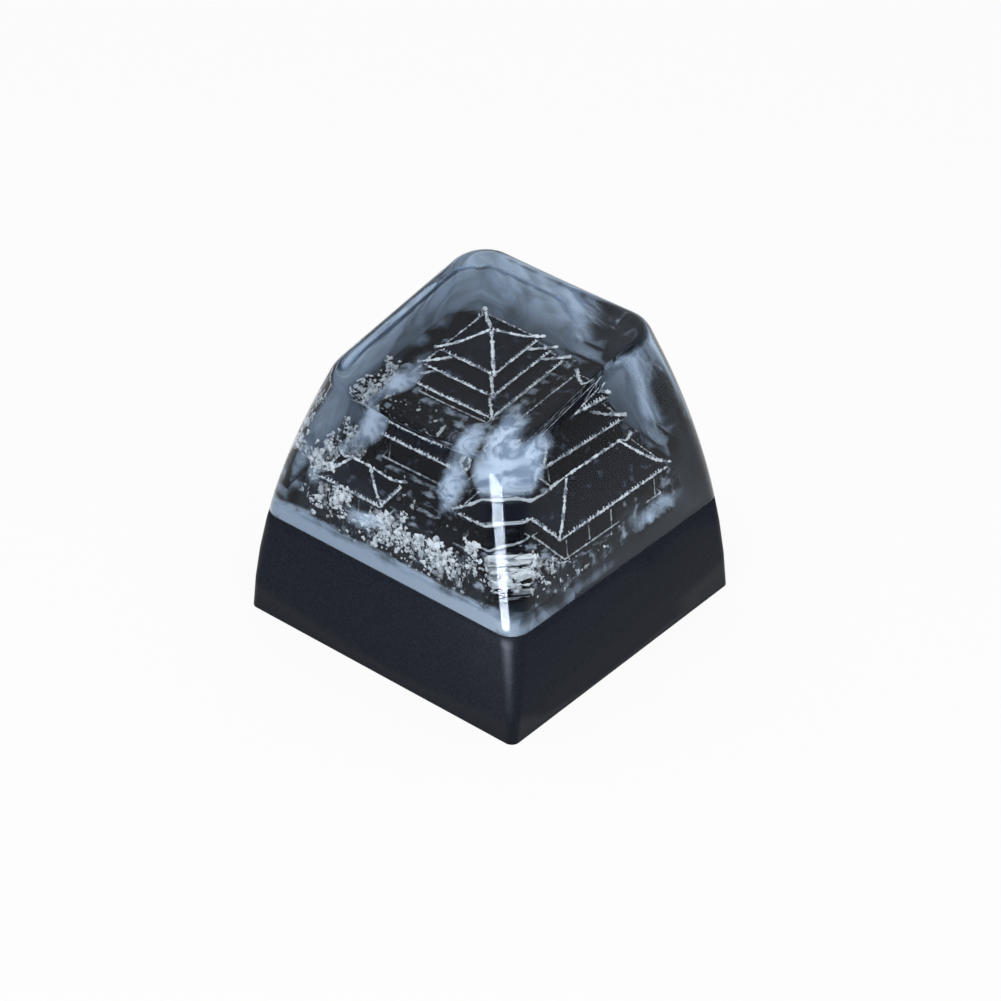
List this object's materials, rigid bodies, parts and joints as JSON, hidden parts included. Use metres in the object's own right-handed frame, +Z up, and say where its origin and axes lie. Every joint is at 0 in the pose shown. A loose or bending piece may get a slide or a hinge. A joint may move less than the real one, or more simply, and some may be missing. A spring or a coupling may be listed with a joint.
{
  "type": "artisan keycap",
  "caption": "Tall sculpted keycap with a dark hollow skirt, a cross socket for a switch stem and a clear cast dome that holds a miniature hamlet in milky mist.",
  "frame": {"origin": "middle of the rim, on the surface that the keycap stands on", "axes": "+Z up out of the finger dish, -Y towards the typist, +X to the typist's right"},
  "size_m": [0.018, 0.018, 0.0168],
  "materials": {
    "skirt_resin": "satin, fine grain",
    "clear_resin": "polished",
    "milky_resin": "milky",
    "roof_paint": "dark, frosted along its edges",
    "stone_paint": "dark stone dusted white",
    "bush_paint": "dark, dusted white"
  },
  "bodies": {
    "root": {"base_skirt": "skirt_resin", "clear_cap": "clear_resin", "mist_floor": "milky_resin", "terrace": "stone_paint", "stair": "stone_paint", "tower": "roof_paint", "long_hall": "roof_paint", "gate_house": "roof_paint", "boulders": "stone_paint", "bushes": "bush_paint"}
  },
  "joints": []
}
